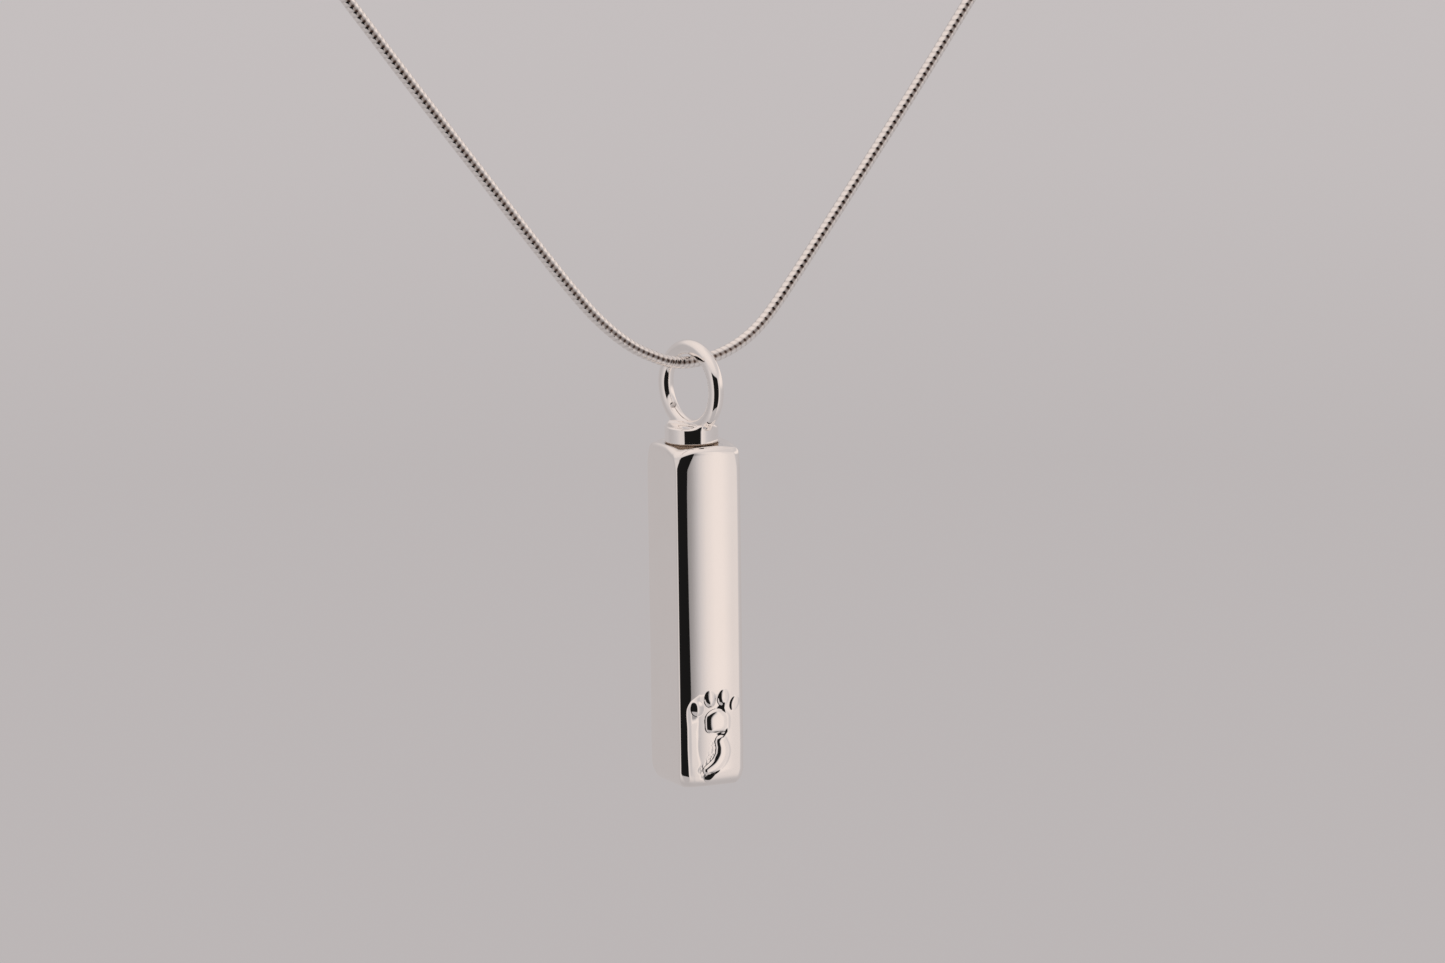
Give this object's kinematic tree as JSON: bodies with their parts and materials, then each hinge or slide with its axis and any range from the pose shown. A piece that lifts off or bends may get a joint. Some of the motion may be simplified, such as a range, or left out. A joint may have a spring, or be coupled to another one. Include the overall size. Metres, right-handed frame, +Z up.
{
  "type": "mezuzah pendant case",
  "caption": "Square polished silver screw-top capsule case with a footprint relief, hanging by a ring bail on a round snake chain, with a small scroll inside.",
  "frame": {"origin": "middle of the chain at the point where the bail ring hangs on it", "axes": "+Z up along the case, the case's front face looks along -Y, +X to the right across the front face; the chain's vertical plane is turned 16.8 degrees about +Z from the XZ plane"},
  "size_m": [0.0793, 0.0272, 0.0793],
  "materials": {
    "polished_silver": "mirror-polished sterling silver",
    "plain_silver": "turned sterling silver, not polished",
    "chain_silver": "polished silver plates with shadow between them",
    "spring_steel": "drawn spring wire",
    "seal_rubber": "matte tan sheet rubber",
    "parchment": "matte parchment",
    "tie_thread": "twisted thread"
  },
  "bodies": {
    "necklace": {"chain": "chain_silver", "left_end_cap": "polished_silver", "right_end_cap": "polished_silver", "left_jump_ring": "polished_silver", "right_jump_ring": "polished_silver"},
    "cap": {"bail_ring": "polished_silver", "screw_plug": "polished_silver", "seal_washer": "seal_rubber"},
    "scroll": {"scroll": "parchment", "scroll_tie": "tie_thread"},
    "case": {"case_shell": "polished_silver", "neck_bush": "plain_silver"},
    "clasp": {"clasp_ring": "polished_silver", "clasp_eye": "polished_silver", "clasp_spring": "spring_steel"},
    "bolt": {"clasp_bolt": "polished_silver"},
    "tag": {"end_tag": "polished_silver"}
  },
  "joints": [
    {"name": "pendant_swing", "type": "hinge", "parent": "necklace", "child": "cap", "pos_m": [0, 0, 0], "axis": [0.9573, 0.289, 0], "range_deg": [-90, 90]},
    {"name": "case_drop", "type": "slide", "parent": "cap", "child": "scroll", "axis": [0, 0, -1], "range_m": [0, 0.0036]},
    {"name": "case_turn", "type": "hinge", "parent": "scroll", "child": "case", "pos_m": [0, 0, -0.02055], "axis": [0, 0, -1], "range_deg": [0, 2160]},
    {"name": "clasp_swing", "type": "hinge", "parent": "necklace", "child": "clasp", "pos_m": [-0.04022, -0.01214, 0.04111], "axis": [0.9573, 0.289, 0], "range_deg": [-60, 60]},
    {"name": "bolt_slide", "type": "hinge", "parent": "clasp", "child": "bolt", "pos_m": [-0.04022, -0.01214, 0.03702], "axis": [-0.9573, -0.289, 0], "range_deg": [0, 48], "stiffness_Nm_per_rad": 0.002, "springref_deg": -17.19},
    {"name": "tag_swing", "type": "hinge", "parent": "necklace", "child": "tag", "pos_m": [0.03548, 0.01071, 0.03337], "axis": [0.9573, 0.289, 0], "range_deg": [-60, 60]}
  ],
  "couplings": [
    {"joint": "case_turn", "follows": "case_drop", "rad_per_m": 10472}
  ]
}
